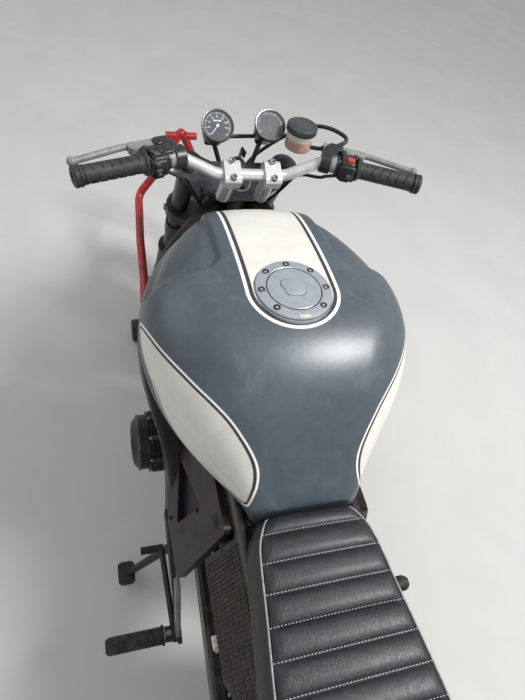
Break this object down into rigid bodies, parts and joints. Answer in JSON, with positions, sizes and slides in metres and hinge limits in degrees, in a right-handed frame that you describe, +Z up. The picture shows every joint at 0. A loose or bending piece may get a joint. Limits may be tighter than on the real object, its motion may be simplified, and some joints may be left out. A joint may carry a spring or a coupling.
{
  "type": "sport bike",
  "caption": "Stripped sport bike rebuilt as a cafe racer: slate tank with cream panels, ribbed black seat, wide straight bar, leaning engine, standing on a red front paddock stand.",
  "frame": {"origin": "middle of the bounding box on the floor", "axes": "+Y forward, +X the rider's right, +Z up"},
  "size_m": [0.6668, 2.1337, 1.0607],
  "materials": {
    "airbox": "moulded",
    "alloy": "satin machined",
    "bolt": "zinc plated",
    "bracket": "satin black",
    "cap": "machined ring with screws",
    "carb": "dull casting",
    "cast_alloy": "bead blasted casting",
    "chain": "oiled dark steel",
    "clock": "black cup, dark dial",
    "cover": "satin grey",
    "disc": "ground ring marks",
    "engine": "painted castings",
    "exhaust": "heat tinted",
    "fork_black": "satin black",
    "frame": "dark bronze grey",
    "grip": "ribbed",
    "guard": "slate blue grey",
    "hose": "smooth",
    "lamp": "bright shell",
    "lever": "worn satin",
    "pan": "moulded",
    "panel": "brown slats",
    "peg": "ribbed peg on alloy plate",
    "radiator": "black cores",
    "reservoir": "milky tank with amber fluid",
    "seat": "ribbed, pale stitching and piping",
    "spring": "satin",
    "stand_red": "worn red",
    "stand_rubber": "solid",
    "steel": "brushed",
    "subframe": "blue black tube",
    "switch": "fine grain",
    "tail": "red lens",
    "tank": "satin slate with cream panels and stripes",
    "tyre": "matte tread rubber",
    "wheel": "satin black cast alloy"
  },
  "bodies": {
    "frame": {"airbox": "airbox", "carburettors": "carb", "crankcase": "engine", "cylinder_block": "engine", "cylinder_head": "cast_alloy", "drive_chain": "chain", "engine_covers": "cover", "exhaust_pipes": "exhaust", "filler_cap": "cap", "foot_levers": "lever", "footpegs": "peg", "frame_spars": "frame", "fuel_tank": "tank", "radiator": "radiator", "rear_axle_and_pivot": "bolt", "rear_caliper": "cover", "rear_mudguard": "pan", "seat_cushion": "seat", "seat_pan": "pan", "shock_absorber": "spring", "side_panels": "panel", "side_stand_bracket": "frame", "silencer": "exhaust", "steering_head": "frame", "subframe": "subframe", "swingarm": "frame", "tail_lamp": "tail"},
    "steering": {"bottom_yoke": "cast_alloy", "top_yoke": "alloy", "bar_risers": "alloy", "handlebar": "alloy", "handlebar_grips": "grip", "switch_housings": "switch", "hand_levers": "lever", "brake_reservoir": "reservoir", "instruments": "clock", "clock_bracket": "bracket", "headlamp": "lamp", "headlamp_brackets": "bracket", "fork_sliders_and_axle": "fork_black", "fork_tubes": "fork_black", "front_calipers": "cover", "front_brake_hoses": "hose", "front_mudguard": "guard", "front_stand": "stand_red", "front_stand_rubbers": "stand_rubber"},
    "front_wheel": {"front_tyre": "tyre", "front_wheel_casting": "wheel", "front_brake_discs": "disc"},
    "rear_wheel": {"rear_tyre": "tyre", "rear_wheel_casting": "wheel", "rear_brake_disc": "disc", "rear_sprocket": "steel"},
    "side_stand": {"side_stand": "frame"}
  },
  "joints": [
    {"name": "steering_turn", "type": "hinge", "parent": "frame", "child": "steering", "pos_m": [0, 0.61692, 0.28457], "axis": [0, -0.4226, 0.9063], "range_deg": [-30, 30]},
    {"name": "front_wheel_spin", "type": "hinge", "parent": "steering", "child": "front_wheel", "pos_m": [0, 0.65, 0.3], "axis": [1, 0, 0], "continuous": true},
    {"name": "rear_wheel_spin", "type": "hinge", "parent": "frame", "child": "rear_wheel", "pos_m": [0, -0.755, 0.312], "axis": [1, 0, 0], "continuous": true},
    {"name": "side_stand_fold", "type": "hinge", "parent": "frame", "child": "side_stand", "pos_m": [-0.126, -0.18716, 0.276], "axis": [-0.8298, 0.197, 0.5222], "range_deg": [0, 88]}
  ]
}
